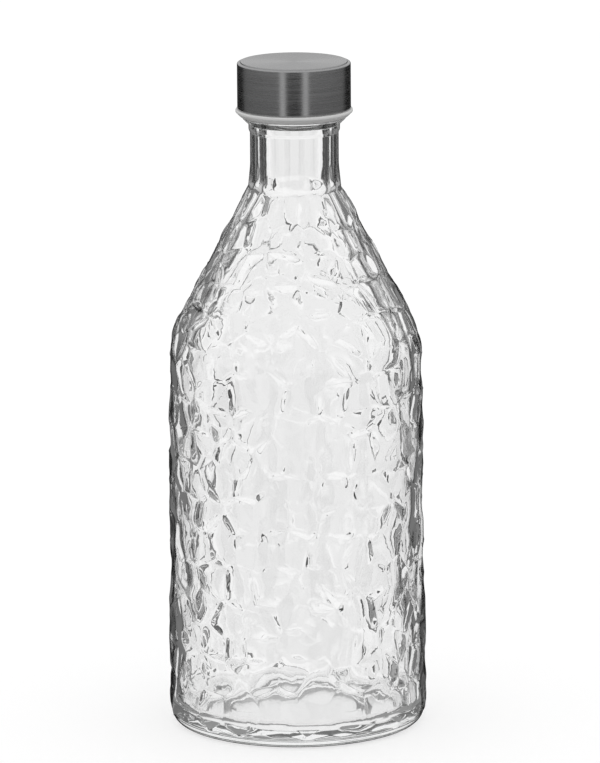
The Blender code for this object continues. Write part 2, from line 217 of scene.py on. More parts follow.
plasticLook = {
    "tint": (0.7, 0.7, 0.695, 1), "darkest": 0.95, "palest": 1.0, "cloudSize": 90.0,
    "roughness": 0.42, "roughSpread": 0.05, "grainSize": 1800.0, "grain": 0.08, "grainDepth": 0.0001,
    "glow": 0.05, "scatter": 0.15, "scatterDepth": 0.001,
}
foamLook = {
    "tint": (0.86, 0.86, 0.84, 1), "darkest": 0.85, "palest": 1.0, "roughness": 0.8,
    "poreSize": 2600.0, "pores": 0.3, "poreDepth": 0.0002,
}


def newMaterial(name):
    made = bpy.data.materials.new(name)
    made.use_nodes = True
    tree = made.node_tree
    shader = tree.nodes["Principled BSDF"]
    place = addNode(tree, "ShaderNodeTexCoord").outputs["Object"]
    return made, tree, shader, place


def shaded(tint, share):
    return tuple(share * c for c in tint[:3]) + (1,)


def varyTint(tree, shader, pattern, look):
    inputs = {
        "Factor": pattern,
        "A": shaded(look["tint"], look["darkest"]), "B": shaded(look["tint"], look["palest"]),
    }
    varied = addNode(tree, "ShaderNodeMix", inputs, data_type="RGBA")
    tree.links.new(pick(varied.outputs, "Result"), shader.inputs["Base Color"])


def varyRoughness(tree, shader, pattern, look):
    smoothest, roughest = look["roughness"] - look["roughSpread"], look["roughness"] + look["roughSpread"]
    rough = smoothStep(tree, pattern, 0.3, 0.7, smoothest, roughest)
    tree.links.new(rough, shader.inputs["Roughness"])


def addBump(tree, shader, height, strength, depth):
    bump = addNode(tree, "ShaderNodeBump", {"Height": height, "Strength": strength, "Distance": depth})
    tree.links.new(bump.outputs["Normal"], shader.inputs["Normal"])


def paintedShadeAslant(tree, look, place):
    # painted shade: the glass's colour is darkened where it is seen aslant, a dark line, then grey,
    # standing in for a room's dark sides seen through upright glass
    facing = addNode(tree, "ShaderNodeLayerWeight", {"Blend": 0.5}).outputs["Facing"]
    straight = calc(tree, "SUBTRACT", 1.0, facing)
    slant = calc(tree, "SQRT", calc(tree, "SUBTRACT", 1.0, calc(tree, "MULTIPLY", straight, straight)))
    fromInside = addNode(tree, "ShaderNodeNewGeometry").outputs["Backfacing"]
    bend = calc(tree, "ADD", 1.0, calc(tree, "MULTIPLY", fromInside, look["ior"] - 1))
    slant = calc(tree, "MULTIPLY", slant, bend)
    height = splitVector(tree, place)[2]
    foot, footEnd, top, topEnd = look["neckZone"]
    neck = calc(
        tree, "MULTIPLY",
        smoothStep(tree, height, foot, footEnd), smoothStep(tree, height, top, topEnd, 1.0, 0.0),
    )
    wide = smoothStep(tree, height, *look["shoulderZone"], look["bodySlant"], look["shoulderSlant"])
    start = smoothStep(tree, neck, 0.0, 1.0, wide, look["neckSlant"])
    start = calc(tree, "SUBTRACT", start, calc(tree, "MULTIPLY", fromInside, look["leavingSlant"]))
    fill = smoothStep(tree, neck, 0.0, 1.0, look["bodyGrey"], look["neckGrey"])
    past = calc(tree, "SUBTRACT", slant, start)
    soft = look["slantSoft"]
    clear = smoothStep(tree, past, 0.0, soft, 1.0, look["slantDark"])
    grey = smoothStep(tree, past, soft, 2 * soft, 0.0, fill)
    # painted dark outline where the glass is seen edge-on
    outline = smoothStep(tree, slant, look["outline"], 1.0, 1.0, look["outlineDark"])
    dark = calc(tree, "ADD", clear, calc(tree, "MULTIPLY", grey, outline))
    # faces that lie flat are painted an even pale grey instead
    normal = addNode(tree, "ShaderNodeTexCoord").outputs["Normal"]
    lying = calc(tree, "ABSOLUTE", splitVector(tree, normal)[2])
    level = smoothStep(tree, lying, look["lyingFrom"], look["lyingTo"])
    towards = calc(tree, "MULTIPLY", calc(tree, "SUBTRACT", look["lyingClear"], dark), level)
    return calc(tree, "ADD", dark, towards)


def clearGlass(look):
    made, tree, shader, place = newMaterial("clearGlass")
    shader.inputs["Roughness"].default_value = 0.0
    shader.inputs["IOR"].default_value = look["ior"]
    # painted light: where a path has turned back trappedTurns times inside the glass, the glass is painted
    # black there and glows instead, evenly, paler in the thick base and brightest at the bead
    turns = addNode(tree, "ShaderNodeLightPath").outputs["Glossy Depth"]
    trapped = calc(tree, "GREATER_THAN", turns, look["trappedTurns"] - 0.5)
    last = calc(tree, "COMPARE", turns, float(look["trappedTurns"]), 0.5)
    paintedShade = calc(tree, "MULTIPLY", paintedShadeAslant(tree, look, place), calc(tree, "SUBTRACT", 1.0, trapped))
    tree.links.new(joinVector(tree, paintedShade, paintedShade, paintedShade), shader.inputs["Base Color"])
    shader.inputs["Emission Color"].default_value = (1, 1, 1, 1)
    height = splitVector(tree, place)[2]
    beadFoot, beadEnd = look["neckZone"][2:]
    glow = calc(
        tree, "MAXIMUM",
        smoothStep(tree, height, *look["baseZone"], look["paintedBaseGlow"], look["paintedTrappedGlow"]),
        smoothStep(tree, height, beadFoot, beadEnd, 0.0, look["paintedBeadGlow"]),
    )
    tree.links.new(calc(tree, "MULTIPLY", last, glow), shader.inputs["Emission Strength"])
    made.cycles.emission_sampling = "NONE"
    shader.inputs["Transmission Weight"].default_value = 1.0
    # the skin of moulded glass is never quite flat
    waves = {"Vector": place, "Scale": look["rippleSize"], "Detail": 2.0}
    ripple = addNode(tree, "ShaderNodeTexNoise", waves).outputs["Fac"]
    addBump(tree, shader, ripple, look["ripple"], look["rippleDepth"])
    body = addNode(tree, "ShaderNodeVolumeAbsorption", {"Color": look["tint"], "Density": look["density"]})
    output = next(n for n in tree.nodes if n.type == "OUTPUT_MATERIAL")
    tree.links.new(body.outputs["Volume"], output.inputs["Volume"])
    return made


def brushedSteel(look):
    made, tree, shader, place = newMaterial("brushedSteel")
    x, y, z = splitVector(tree, place)
    # brush lines run round the axis, on the side and on the top alike
    radius = awayFromAxis(tree, x, y)
    across = calc(tree, "MULTIPLY", calc(tree, "SUBTRACT", radius, z), look["lineSize"])
    streak = look["streakSize"]
    along = joinVector(tree, calc(tree, "MULTIPLY", x, streak), calc(tree, "MULTIPLY", y, streak), across)
    strokes = {"Vector": along, "Scale": 1.0, "Detail": 4.0, "Roughness": 0.7}
    lines = addNode(tree, "ShaderNodeTexNoise", strokes).outputs["Fac"]
    shader.inputs["Metallic"].default_value = 1.0
    shader.inputs["Anisotropic"].default_value = look["brushing"]
    shader.inputs["Anisotropic Rotation"].default_value = look["brushTurn"]
    tangent = addNode(tree, "ShaderNodeTangent", direction_type="RADIAL", axis="Z")
    tree.links.new(tangent.outputs["Tangent"], shader.inputs["Tangent"])
    varyTint(tree, shader, lines, look)
    varyRoughness(tree, shader, lines, look)
    addBump(tree, shader, lines, look["lines"], look["lineDepth"])
    return made


def palePlastic(look):
    made, tree, shader, place = newMaterial("palePlastic")
    clouds = {"Vector": place, "Scale": look["cloudSize"], "Detail": 3.0}
    varyTint(tree, shader, addNode(tree, "ShaderNodeTexNoise", clouds).outputs["Fac"], look)
    grains = {"Vector": place, "Scale": look["grainSize"], "Detail": 2.0}
    grain = addNode(tree, "ShaderNodeTexNoise", grains).outputs["Fac"]
    varyRoughness(tree, shader, grain, look)
    addBump(tree, shader, grain, look["grain"], look["grainDepth"])
    # painted light: a faint even glow lightens all the plastic, its shaded underside too; the subsurface
    # scatter lets a little light through
    shader.inputs["Emission Color"].default_value = (1, 1, 1, 1)
    shader.inputs["Emission Strength"].default_value = look["glow"]
    shader.inputs["Subsurface Weight"].default_value = look["scatter"]
    shader.inputs["Subsurface Radius"].default_value = (1.0, 1.0, 1.0)
    shader.inputs["Subsurface Scale"].default_value = look["scatterDepth"]
    return made


def whiteFoam(look):
    made, tree, shader, place = newMaterial("whiteFoam")
    holes = {"Vector": place, "Scale": look["poreSize"]}
    pores = addNode(tree, "ShaderNodeTexVoronoi", holes).outputs["Distance"]
    shader.inputs["Roughness"].default_value = look["roughness"]
    varyTint(tree, shader, pores, look)
    addBump(tree, shader, pores, look["pores"], look["poreDepth"])
    return made


glassFinish = clearGlass(glassLook)
steelFinish = brushedSteel(steelLook)
plasticFinish = palePlastic(plasticLook)
foamFinish = whiteFoam(foamLook)
print("materials made")


# the glass: hammered wall, smooth core and the space for the water

bottle = {
    "bodyRadius": 0.0485, "bodyTaper": 0.0010, "shoulderHeight": 0.1475, "shoulderBend": 0.033,
    "shoulderRise": 0.0560, "patternFoot": 0.0075,
    "heelInset": 0.0012, "heelBend": 0.0063, "heelRings": 5, "heelProud": 0.0012, "heelBite": 0.0002,
    "bearingWidth": 0.0032, "bearingRound": 0.0006,
    "pushUp": 0.0026, "pushUpSlope": 0.0055, "pushUpBend": 0.012,
    "wall": 0.0028, "neckWall": 0.0034, "floor": 0.0062, "floorRise": 0.0022, "floorBend": 0.005,
    "finishRadius": 0.0174, "finishHeight": 0.0165, "rimRound": 0.0011,
    "mouthChamfer": 0.0007, "mouthFlare": 0.0008, "mouthBend": 0.002, "boreFoot": 0.0030, "boreBend": 0.008,
    "neckLength": 0.0212, "neckInset": 0.0010, "neckFlare": 0.0008, "neckLedge": 0.0007,
    "flareLength": 0.008, "flareBend": 0.02, "neckBite": 0.0010, "neckLipShare": 0.25,
    "ringStep": 0.0005, "ringLength": 0.0020, "ringRound": 0.0008, "ringRun": 0.0011, "ringBend": 0.0012,
    "beadStep": 0.0017, "beadHeight": 0.0026, "beadEdge": 0.0005,
    "beadTopRound": 0.0004, "beadEdgeRound": 0.0005, "beadFootRound": 0.0006,
    "turnSteps": 160, "arcStep": math.radians(9), "fineArcStep": math.radians(5),
    "sharpFrom": math.radians(50),
}
hammer = {
    "cellWidth": 0.0130, "cellHeight": 0.0120, "neckCellWidth": 0.0105, "strayShare": 0.3, "seed": 4,
    "flatness": 0.95, "below": 0.00055, "limit": -0.00015, "limitSoft": 0.0003,
    "shallowest": 0.0003, "deepest": 0.0005, "ridgeWidth": 0.0013, "crowding": 2.6, "fineness": 3,
    "shoulderShare": 1.4, "shoulderFrom": 0.135, "shoulderTo": 0.165, "wave": 0.0016, "waveSize": 72.0,
    "crest": 0.0006, "crestSize": 85.0, "crestRange": (0.36, 0.64),
    "linePoints": 200, "lineArcStep": math.radians(3),
}
glassThread = {
    "pitch": 0.0042, "turns": 1.3, "steps": 72, "depth": 0.0012, "section": 0.0010,
    "sectionSteps": 5, "topDrop": 0.0024, "runOutShare": 0.12, "endShare": 0.3,
}

neckRadius = bottle["finishRadius"] - bottle["neckInset"]
neckFootRadius = neckRadius + bottle["neckFlare"]
boreRadius = neckRadius - bottle["neckWall"]
bodyTopRadius = bottle["bodyRadius"] - bottle["bodyTaper"]
heelRadius = bottle["bodyRadius"] - bottle["heelInset"]
neckBase = bottle["shoulderHeight"] + bottle["shoulderRise"]
ringHeight = neckBase + bottle["neckLength"]
beadBottom = ringHeight + bottle["ringLength"]
beadTop = beadBottom + bottle["beadHeight"]
rimHeight = beadTop + bottle["finishHeight"]
threadTop = rimHeight - glassThread["topDrop"] - glassThread["section"]


def measureWallLine():
    # the line up the wall at the ridges: (radius, height, distance up the line, stretch on the ball)
    corners = [
        (bottle["bodyRadius"], bottle["patternFoot"], 0),
        (bodyTopRadius, bottle["shoulderHeight"], bottle["shoulderBend"]),
        (neckFootRadius + bottle["neckLedge"], neckBase, 0),
    ]
    line = roundCorners(corners, hammer["lineArcStep"])
    halfCell = hammer["cellHeight"] / 2
    line.insert(0, line[0] + (line[0] - line[1]).normalized() * halfCell)
    line.append(line[-1] + (line[-1] - line[-2]).normalized() * halfCell)
    rows = [(line[0].x, line[0].y, 0.0, 0.0)]
    for a, b in zip(line, line[1:]):
        step = (b - a).length
        slope = (b.x - a.x) / step
        turn = step / a.x if abs(slope) < 1e-6 else math.log(b.x / a.x) / slope
        rows.append((b.x, b.y, rows[-1][2] + step, rows[-1][3] + turn))
    return rows


def readLine(rows, column, value):
    for a, b in zip(rows, rows[1:]):
        if value <= b[column] or b is rows[-1]:
            share = (value - a[column]) / (b[column] - a[column])
            return [p + (q - p) * share for p, q in zip(a, b)]


def cellMiddles(rows):
    # jittered rows up the wall: (angle, distance up the line)
    chance = random.Random(hammer["seed"])
    length = rows[-1][2]
    rowCount = max(4, round(length / hammer["cellHeight"]))
    shoulderStart = bottle["shoulderHeight"] - bottle["patternFoot"]
    middles = []
    for row in range(rowCount + 1):
        isEnd = row in (0, rowCount)
        along = length * row / rowCount
        upShoulder = max(0.0, (along - shoulderStart) / (length - shoulderStart))
        width = hammer["cellWidth"] + (hammer["neckCellWidth"] - hammer["cellWidth"]) * upShoulder
        count = max(8, round(math.tau * readLine(rows, 2, along)[0] / width))
        stray = 0 if isEnd else hammer["strayShare"]
        for k in range(count):
            across = chance.uniform(-stray, stray) if stray else 0
            up = chance.uniform(-stray, stray) if stray else 0
            middles.append((math.tau * (k + row / 2 + across) / count, along + up * length / rowCount))
    return middles


def ballLatitude(rows, stretch):
    middle = readLine(rows, 2, rows[-1][2] / 2)[3]
    return 2 * math.atan(math.exp(stretch - middle)) - math.pi / 2


def pointCloud(name, points):
    mesh = bpy.data.meshes.new(name)
    mesh.from_pydata([tuple(p) for p in points], [], [])
    return addPiece(name, mesh)


def buildCellTree():
    tree = bpy.data.node_groups.new("hammeredCells", "GeometryNodeTree")
    sockets = [
        ("Middles", "NodeSocketGeometry"), ("Wall Line", "NodeSocketObject"),
        ("Line Points", "NodeSocketFloat"),
        ("Lowest Latitude", "NodeSocketFloat"), ("Highest Latitude", "NodeSocketFloat"),
        ("Flatness", "NodeSocketFloat"), ("Below", "NodeSocketFloat"),
        ("Limit", "NodeSocketFloat"), ("Limit Soft", "NodeSocketFloat"),
        ("Shallowest", "NodeSocketFloat"), ("Deepest", "NodeSocketFloat"),
        ("Ridge Width", "NodeSocketFloat"), ("Crowding", "NodeSocketFloat"),
        ("Shoulder Share", "NodeSocketFloat"), ("Shoulder From", "NodeSocketFloat"),
        ("Shoulder To", "NodeSocketFloat"),
        ("Wave", "NodeSocketFloat"), ("Wave Size", "NodeSocketFloat"), ("Crest", "NodeSocketFloat"),
        ("Crest Size", "NodeSocketFloat"),
        ("Fineness", "NodeSocketInt"), ("Seed", "NodeSocketInt"), ("Finish", "NodeSocketMaterial"),
    ]
    for name, kind in sockets:
        tree.interface.new_socket(name, in_out="INPUT", socket_type=kind)
    tree.interface.new_socket("Wall", in_out="OUTPUT", socket_type="NodeSocketGeometry")
    given = addNode(tree, "NodeGroupInput").outputs
    position = addNode(tree, "GeometryNodeInputPosition").outputs[0]

    # the net between the middles, laid on a ball, without its two lids
    hull = addNode(tree, "GeometryNodeConvexHull", {"Geometry": given["Middles"]}).outputs[0]
    height = splitVector(tree, position)[2]
    tiny = 0.0001
    topEdge = calc(tree, "SUBTRACT", calc(tree, "SINE", given["Highest Latitude"]), tiny)
    lowEdge = calc(tree, "ADD", calc(tree, "SINE", given["Lowest Latitude"]), tiny)
    isLid = calc(
        tree, "ADD",
        calc(tree, "GREATER_THAN", height, topEdge), calc(tree, "LESS_THAN", height, lowEdge),
    )
    net = addNode(
        tree, "GeometryNodeDeleteGeometry", {"Geometry": hull, "Selection": isLid},
        domain="FACE", mode="ALL",
    ).outputs[0]
    # where three cells meet is straight over the middle of the triangle between them
    faceNormal = addNode(tree, "GeometryNodeInputNormal").outputs["Normal"]
    marked = addNode(
        tree, "GeometryNodeStoreNamedAttribute", {"Geometry": net, "Name": "corner", "Value": faceNormal},
        data_type="FLOAT_VECTOR", domain="FACE",
    )
    dual = addNode(tree, "GeometryNodeDualMesh", {"Mesh": marked.outputs[0]}).outputs[0]
    corner = addNode(
        tree, "GeometryNodeInputNamedAttribute", {"Name": "corner"}, data_type="FLOAT_VECTOR",
    )
    onBall = vectorCalc(tree, "NORMALIZE", pick(corner.outputs, "Attribute"))
    cells = addNode(tree, "GeometryNodeSetPosition", {"Geometry": dual, "Position": onBall}).outputs[0]

    # the ridges alone, and the cells, both finer
    toBall = vectorCalc(tree, "NORMALIZE", position)
    wires = addNode(
        tree, "GeometryNodeDeleteGeometry", {"Geometry": cells}, domain="FACE", mode="ONLY_FACE",
    )
    fineWires = addNode(
        tree, "GeometryNodeSubdivideMesh", {"Mesh": wires.outputs[0], "Level": given["Fineness"]},
    )
    ridges = addNode(
        tree, "GeometryNodeSetPosition", {"Geometry": fineWires.outputs[0], "Position": toBall}
    ).outputs[0]
    fineCells = addNode(tree, "GeometryNodeSubdivideMesh", {"Mesh": cells, "Level": given["Fineness"]})
    ball = addNode(
        tree, "GeometryNodeSetPosition", {"Geometry": fineCells.outputs[0], "Position": toBall}
    ).outputs[0]

    # points crowd towards the ridges, where the glass turns most
    toMiddle = addNode(
        tree, "GeometryNodeProximity", {"Geometry": given["Middles"]}, target_element="POINTS"
    )
    toRidge = addNode(tree, "GeometryNodeProximity", {"Geometry": ridges}, target_element="EDGES")
    inside = calc(
        tree, "DIVIDE", toMiddle.outputs["Distance"],
        calc(tree, "ADD", toMiddle.outputs["Distance"], toRidge.outputs["Distance"]),
    )
    crowded = calc(
        tree, "SUBTRACT", 1.0, calc(tree, "POWER", calc(tree, "SUBTRACT", 1.0, inside), given["Crowding"]),
    )
    growth = calc(tree, "DIVIDE", crowded, calc(tree, "MAXIMUM", inside, 10 * tiny))
    middle = toMiddle.outputs["Position"]
    fromMiddle = vectorCalc(tree, "SCALE", vectorCalc(tree, "SUBTRACT", position, middle), growth)
    spread = vectorCalc(tree, "NORMALIZE", vectorCalc(tree, "ADD", middle, fromMiddle))
    ball = addNode(tree, "GeometryNodeSetPosition", {"Geometry": ball, "Position": spread}).outputs[0]
    ownCell = addNode(
        tree, "GeometryNodeSampleNearest", {"Geometry": given["Middles"]}, domain="POINT",
    ).outputs[0]
    dent = addNode(
        tree, "FunctionNodeRandomValue",
        {"Min": given["Shallowest"], "Max": given["Deepest"], "ID": ownCell, "Seed": given["Seed"]},
        data_type="FLOAT",
    )
    upFromMiddle = calc(
        tree, "SUBTRACT", splitVector(tree, position)[2], splitVector(tree, middle)[2],
    )
    fields = [
        ("fromMiddle", toMiddle.outputs["Distance"]), ("fromRidge", toRidge.outputs["Distance"]),
        ("upFromMiddle", upFromMiddle), ("dent", pick(dent.outputs, "Value")),
    ]
    for name, value in fields:
        ball = addNode(
            tree, "GeometryNodeStoreNamedAttribute", {"Geometry": ball, "Name": name, "Value": value},
            data_type="FLOAT", domain="POINT",
        ).outputs[0]

    # from the ball to the wall, through the points of the wall line
    x, y, z = splitVector(tree, position)
    flat = awayFromAxis(tree, x, y)
    latitude = calc(tree, "ARCTAN2", z, flat)
    place = addNode(
        tree, "ShaderNodeMapRange",
        {"Value": latitude, "From Min": given["Lowest Latitude"], "From Max": given["Highest Latitude"],
         "To Min": 0.0, "To Max": calc(tree, "SUBTRACT", given["Line Points"], 1.0)},
    ).outputs["Result"]
    linePoints = addNode(
        tree, "GeometryNodeObjectInfo", {"Object": given["Wall Line"]}, transform_space="ORIGINAL"
    ).outputs["Geometry"]
    below = calc(tree, "FLOOR", place)
    reads = []
    for index in (below, calc(tree, "ADD", below, 1.0)):
        reads.append(addNode(
            tree, "GeometryNodeSampleIndex", {"Geometry": linePoints, "Value": position, "Index": index},
            data_type="FLOAT_VECTOR", domain="POINT", clamp=True,
        ).outputs[0])
    past = calc(tree, "SUBTRACT", place, below)
    onLine = addNode(
        tree, "ShaderNodeMix", {"Factor": past, "A": reads[0], "B": reads[1]}, data_type="VECTOR",
    )
    wallRadius, _, wallHeight = splitVector(tree, pick(onLine.outputs, "Result"))
    scale = calc(tree, "DIVIDE", wallRadius, flat)
    onWall = joinVector(
        tree, calc(tree, "MULTIPLY", x, scale), calc(tree, "MULTIPLY", y, scale), wallHeight,
    )
    wall = ball
    for name, value in (("scale", scale), ("wallRadius", wallRadius)):
        wall = addNode(
            tree, "GeometryNodeStoreNamedAttribute", {"Geometry": wall, "Name": name, "Value": value},
            data_type="FLOAT", domain="POINT",
        ).outputs[0]
    wall = addNode(tree, "GeometryNodeSetPosition", {"Geometry": wall, "Position": onWall}).outputs[0]

    # each cell is a nearly flat facet, dented between soft ridges
    kept = {}
    for name in ("fromMiddle", "fromRidge", "upFromMiddle", "dent", "scale", "wallRadius"):
        read = addNode(tree, "GeometryNodeInputNamedAttribute", {"Name": name}, data_type="FLOAT")
        kept[name] = pick(read.outputs, "Attribute")
    fromMiddle = calc(tree, "MULTIPLY", kept["fromMiddle"], kept["scale"])
    fromRidge = calc(tree, "MULTIPLY", kept["fromRidge"], kept["scale"])
    # up the wall a step on the ball grows twice, by the scale and by the slant of the ball there
    up = calc(
        tree, "MULTIPLY", calc(tree, "MULTIPLY", kept["upFromMiddle"], kept["scale"]),
        calc(tree, "DIVIDE", kept["scale"], kept["wallRadius"]),
    )
    squares = [calc(tree, "MULTIPLY", value, value) for value in (fromMiddle, up)]
    aside = calc(tree, "MAXIMUM", 0.0, calc(tree, "SUBTRACT", *squares))
    rise = calc(
        tree, "MULTIPLY", calc(tree, "DIVIDE", aside, calc(tree, "MULTIPLY", kept["wallRadius"], 2.0)),
        given["Flatness"],
    )
    # up the shoulder the ridges are wider and more unequal, and the wall waves less
    upShoulder = smoothStep(
        tree, splitVector(tree, position)[2], given["Shoulder From"], given["Shoulder To"],
        1.0, given["Shoulder Share"],
    )
    ridgeWidth = calc(tree, "MULTIPLY", given["Ridge Width"], upShoulder)
    intoCell = smoothStep(tree, fromRidge, 0.0, ridgeWidth)
    dented = calc(tree, "MULTIPLY", calc(tree, "SUBTRACT", rise, kept["dent"]), intoCell)
    # some stretches of a ridge stand out, and others are nearly flat
    unequal = addNode(tree, "ShaderNodeTexNoise", {"Scale": given["Crest Size"], "Detail": 0.0})
    share = smoothStep(tree, unequal.outputs["Fac"], *hammer["crestRange"], -0.5, 0.5)
    crest = calc(
        tree, "MULTIPLY", calc(tree, "SUBTRACT", 1.0, intoCell),
        calc(tree, "MULTIPLY", given["Crest"], share),
    )
    dented = calc(tree, "ADD", dented, calc(tree, "MULTIPLY", crest, upShoulder))
    noise = addNode(tree, "ShaderNodeTexNoise", {"Scale": given["Wave Size"], "Detail": 0.5})
    waveHeight = calc(tree, "MULTIPLY", given["Wave"], 2.0)
    waveHeight = calc(tree, "DIVIDE", waveHeight, calc(tree, "POWER", upShoulder, 2.0))
    wave = calc(tree, "MULTIPLY", calc(tree, "SUBTRACT", noise.outputs["Fac"], 0.5), waveHeight)
    lift = calc(tree, "ADD", calc(tree, "SUBTRACT", dented, given["Below"]), wave)
    lift = calc(tree, "SMOOTH_MIN", lift, given["Limit"], given["Limit Soft"])
    outwards = vectorCalc(tree, "SCALE", faceNormal, lift)
    wall = addNode(tree, "GeometryNodeSetPosition", {"Geometry": wall, "Offset": outwards}).outputs[0]
    wall = addNode(tree, "GeometryNodeRealizeInstances", {"Geometry": wall}).outputs[0]
    finished = addNode(tree, "GeometryNodeSetMaterial", {"Geometry": wall, "Material": given["Finish"]})
    addNode(tree, "NodeGroupOutput", {"Wall": finished.outputs[0]})
    return tree


def applyTree(piece, tree, values):
    modifier = piece.modifiers.new(tree.name, "NODES")
    modifier.node_group = tree
    for item in tree.interface.items_tree:
        if item.in_out == "INPUT" and item.name in values:
            modifier[item.identifier] = values[item.name]
    return bakedMesh(piece)


def closeEnd(wall, isThisEnd, ring):
    # the open end rolls in ring by ring, each one nearer to its round, and the last one is filled
    rim = [e for e in wall.edges if e.is_boundary and isThisEnd(e.verts[0].co.z)]
    for share, radius, height in ring:
        made = bmesh.ops.extrude_edge_only(wall, edges=rim)["geom"]
        for vert in (g for g in made if isinstance(g, bmesh.types.BMVert)):
            towards = Vector((vert.co.x, vert.co.y)).normalized()
            target = Vector((towards.x * radius, towards.y * radius, height))
            vert.co = vert.co.lerp(target, share)
        rim = [g for g in made if isinstance(g, bmesh.types.BMEdge)]
    bmesh.ops.edgeloop_fill(wall, edges=rim)


def heelAt(height):
    bend = bottle["heelBend"]
    return heelRadius - bend + math.sqrt(bend**2 - (bend - height) ** 2)


def hammeredWall():
    rows = measureWallLine()
    lowest = ballLatitude(rows, 0.0)
    highest = ballLatitude(rows, rows[-1][3])
    middles = []
    for angle, along in cellMiddles(rows):
        latitude = ballLatitude(rows, readLine(rows, 2, along)[3])
        flat = math.cos(latitude)
        middles.append((flat * math.cos(angle), flat * math.sin(angle), math.sin(latitude)))
    middleStretch = readLine(rows, 2, rows[-1][2] / 2)[3]
    linePoints = []
    pointCount = hammer["linePoints"]
    for i in range(pointCount):
        latitude = lowest + (highest - lowest) * i / (pointCount - 1)
        stretch = math.log(math.tan(latitude / 2 + math.pi / 4)) + middleStretch
        radius, height, _, _ = readLine(rows, 3, stretch)
        linePoints.append((radius, 0, height))
    cloud = pointCloud("cellMiddles", middles)
    line = pointCloud("wallLine", linePoints)
    mesh = applyTree(cloud, buildCellTree(), {
        "Wall Line": line, "Line Points": float(pointCount),
        "Lowest Latitude": lowest, "Highest Latitude": highest,
        "Flatness": hammer["flatness"], "Below": hammer["below"],
        "Limit": hammer["limit"], "Limit Soft": hammer["limitSoft"],
        "Shallowest": hammer["shallowest"], "Deepest": hammer["deepest"],
        "Ridge Width": hammer["ridgeWidth"], "Crowding": hammer["crowding"],
        "Shoulder Share": hammer["shoulderShare"], "Shoulder From": hammer["shoulderFrom"],
        "Shoulder To": hammer["shoulderTo"],
        "Wave": hammer["wave"], "Wave Size": hammer["waveSize"],
        "Crest": hammer["crest"], "Crest Size": hammer["crestSize"],
        "Fineness": hammer["fineness"], "Seed": hammer["seed"], "Finish": glassFinish,
    })
    bpy.data.objects.remove(cloud)
    bpy.data.objects.remove(line)
    print("hammered cells:", len(middles), "with", len(mesh.polygons), "faces")
    wall = bmesh.new()
    wall.from_mesh(mesh)
    halfway = (bottle["patternFoot"] + neckBase) / 2
    # at the foot the cells run out over the rounded heel
    heelRings = []
    for k in range(1, bottle["heelRings"] + 1):
        share = k / bottle["heelRings"]
        height = bottle["patternFoot"] * (1 - k / (bottle["heelRings"] + 1))
        proud = bottle["heelProud"] * (1 - share) if k < bottle["heelRings"] else -bottle["heelBite"]
        heelRings.append((share, heelAt(height) + proud, height))
    neckRing = (neckRadius - bottle["neckBite"], neckBase)
    closeEnd(wall, lambda z: z < halfway, heelRings)
    closeEnd(wall, lambda z: z > halfway, [(bottle["neckLipShare"], *neckRing), (1.0, *neckRing)])
    bmesh.ops.recalc_face_normals(wall, faces=wall.faces)
    wall.to_mesh(mesh)
    wall.free()
    return addPiece("glassBottle", mesh)


def glassCore():
    hiddenRadius = bodyTopRadius - 2 * bottle["wall"]
    heelTop = bottle["patternFoot"] + hammer["cellHeight"] / 2
    bearingInner = heelRadius - bottle["heelBend"] - bottle["bearingWidth"]
    ringRadius = neckRadius + bottle["ringStep"]
    beadRadius = bottle["finishRadius"] + bottle["beadStep"]
    corners = [
        (0, rimHeight, 0),
        (bottle["finishRadius"], rimHeight, bottle["rimRound"]),
        (bottle["finishRadius"], beadTop, bottle["beadTopRound"]),
        (beadRadius, beadTop, bottle["beadTopRound"]),
        (beadRadius, beadTop - bottle["beadEdge"], bottle["beadEdgeRound"]),
        (ringRadius, beadBottom, bottle["beadFootRound"]),
        (ringRadius, ringHeight, bottle["ringRound"]),
        (neckRadius, ringHeight - bottle["ringRun"], bottle["ringBend"]),
        (neckRadius, neckBase + bottle["flareLength"], bottle["flareBend"]),
        (neckFootRadius, neckBase, 0),
        (neckFootRadius, neckBase - 2 * bottle["wall"], 0),
        (hiddenRadius, bottle["shoulderHeight"], 0),
        (hiddenRadius, heelTop, 0),
        (heelRadius, heelTop, 0),
        (heelRadius, 0, bottle["heelBend"]),
        (bearingInner, 0, bottle["bearingRound"]),
        (bearingInner - bottle["pushUpSlope"], bottle["pushUp"], bottle["pushUpBend"]),
        (0, bottle["pushUp"], 0),
    ]
    points = roundCorners(corners, bottle["arcStep"])
    return addPiece("glassCore", turnOnAxis("glassCore", points, bottle["turnSteps"]))


def waterSpace():
    overRim = 0.004
    slope = (bodyTopRadius - neckFootRadius - bottle["neckLedge"]) / bottle["shoulderRise"]
    inset = bottle["wall"] * math.hypot(1, slope)
    meetsBore = bottle["shoulderHeight"] + (bodyTopRadius - inset - boreRadius) / slope
    meetsWall = bottle["shoulderHeight"] + (bottle["wall"] - inset) / slope
    corners = [
        (0, rimHeight + overRim, 0),
        (boreRadius + bottle["mouthFlare"] + overRim, rimHeight + overRim, 0),
        (boreRadius, rimHeight - bottle["mouthChamfer"], bottle["mouthBend"]),
        (boreRadius, meetsBore - bottle["boreFoot"], bottle["boreBend"]),
        (bodyTopRadius - bottle["wall"], meetsWall, bottle["shoulderBend"]),
        (bottle["bodyRadius"] - bottle["wall"], bottle["floor"], bottle["floorBend"]),
        (0, bottle["floor"] + bottle["floorRise"], 0),
    ]
    points = roundCorners(corners, bottle["fineArcStep"])
    return addPiece("waterSpace", turnOnAxis("waterSpace", points, bottle["turnSteps"]))


